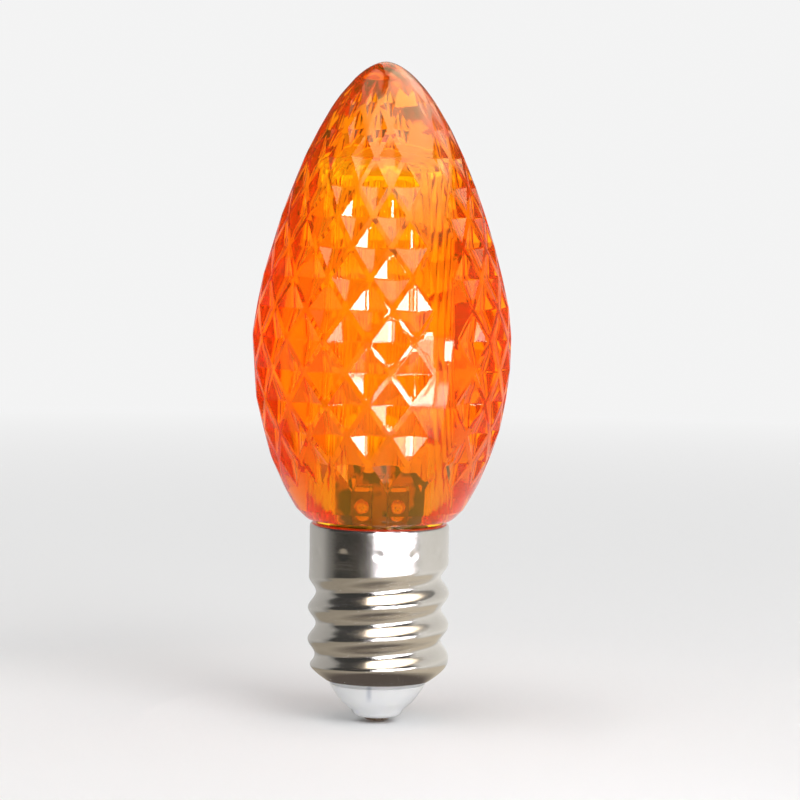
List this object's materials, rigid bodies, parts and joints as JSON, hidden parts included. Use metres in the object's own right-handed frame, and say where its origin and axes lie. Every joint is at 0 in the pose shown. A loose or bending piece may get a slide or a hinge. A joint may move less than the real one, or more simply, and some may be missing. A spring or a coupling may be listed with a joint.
{
  "type": "christmas light bulb",
  "caption": "Small candle-shaped LED Christmas bulb with a faceted clear orange lens on a small nickel-plated screw base.",
  "frame": {"origin": "middle of the flat end of the centre contact, at the bottom of the screw base", "axes": "+Z along the bulb's axis, towards the tip of the lens; -Y is the front, which the two LEDs seen through the lens face; +X is to the right seen from the front"},
  "size_m": [0.0216, 0.0216, 0.0551],
  "materials": {
    "lens": "clear orange acrylic, faceted and glossy",
    "screw_shell": "bright nickel plate on brass",
    "insulator": "milky white plastic, slightly translucent",
    "centre_contact": "tinned brass",
    "circuit_board": "green solder mask on glass-fibre laminate",
    "led": "amber resin window in a plastic package",
    "chip_resistor": "black glaze with tinned ends",
    "chip_capacitor": "tan ceramic with tinned ends",
    "bridge_rectifier": "black moulded resin with tinned legs",
    "fuse_resistor": "tan lacquer with tinned leads",
    "solder": "bright solder",
    "side_lead": "tinned copper wire"
  },
  "bodies": {
    "root": {"lens": "lens", "screw_shell": "screw_shell", "insulator": "insulator", "centre_contact": "centre_contact", "circuit_board": "circuit_board", "led_front_left": "led", "led_front_right": "led", "led_back_left": "led", "led_back_right": "led", "chip_resistor_top": "chip_resistor", "chip_resistor_left": "chip_resistor", "chip_resistor_right": "chip_resistor", "chip_capacitor": "chip_capacitor", "bridge_rectifier": "bridge_rectifier", "fuse_resistor": "fuse_resistor", "centre_solder": "solder", "side_lead": "side_lead", "side_solder": "solder"}
  },
  "joints": []
}
